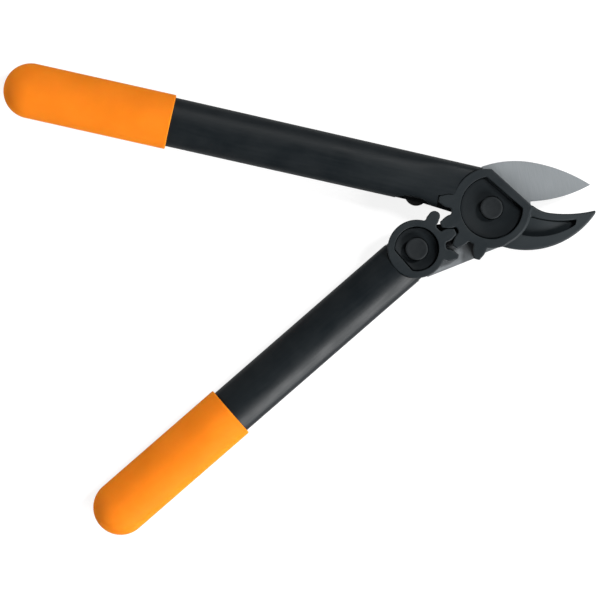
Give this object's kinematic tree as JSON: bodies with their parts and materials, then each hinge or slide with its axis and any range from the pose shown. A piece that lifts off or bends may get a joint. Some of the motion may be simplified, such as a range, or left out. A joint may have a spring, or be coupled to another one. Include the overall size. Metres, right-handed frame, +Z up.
{
  "type": "geared bypass lopper",
  "caption": "Geared bypass lopper: orange-gripped handles, black toothed fork heads, a hook jaw and a steel blade whose tail carries the lower handle's pivot.",
  "frame": {"origin": "on the axis of the main pivot, at the surface that the tool lies on, which is the flat end of the main pivot's nut", "axes": "+X from the handles towards the jaws, +Y towards the side of the upper handle, +Z up out of the surface, along the pivot axes and towards the bolt heads"},
  "size_m": [0.3747, 0.298, 0.0259],
  "materials": {
    "shaft_black": "satin black glass-filled nylon",
    "head_black": "matte black glass-filled nylon with a fine moulded grain",
    "grip_orange": "smooth satin orange",
    "blade_steel": "satin ground steel",
    "hardware_black": "black oxide",
    "bright_steel": "plain machined steel",
    "rubber_black": "black rubber"
  },
  "bodies": {
    "upper_handle": {"upper_shaft": "shaft_black", "upper_grip": "grip_orange", "hook_jaw": "head_black", "stop_bumper": "rubber_black", "main_pivot_bolt": "hardware_black", "main_pivot_nut": "hardware_black", "main_seat_washer": "head_black", "main_nut_washer": "hardware_black", "main_pivot_bush": "bright_steel", "upper_tang_screws": "bright_steel"},
    "blade": {"blade": "blade_steel", "main_glide_washers": "bright_steel", "lever_glide_washers": "bright_steel"},
    "lower_handle": {"lower_shaft": "shaft_black", "lower_grip": "grip_orange", "lever_gear": "head_black", "lever_pivot_bolt": "hardware_black", "lever_pivot_nut": "hardware_black", "lever_seat_washer": "head_black", "lever_nut_washer": "hardware_black", "lever_pivot_bush": "bright_steel", "lower_tang_screws": "bright_steel"}
  },
  "joints": [
    {"name": "blade_hinge", "type": "hinge", "parent": "upper_handle", "child": "blade", "pos_m": [0, 0, 0.01295], "axis": [0, 0, 1], "range_deg": [-17, 20]},
    {"name": "lever_hinge", "type": "hinge", "parent": "blade", "child": "lower_handle", "pos_m": [-0.04732, -0.02601, 0.01295], "axis": [0, 0, 1], "range_deg": [-22.1, 26]}
  ],
  "couplings": [
    {"joint": "lever_hinge", "follows": "blade_hinge", "ratio": 1.3}
  ]
}
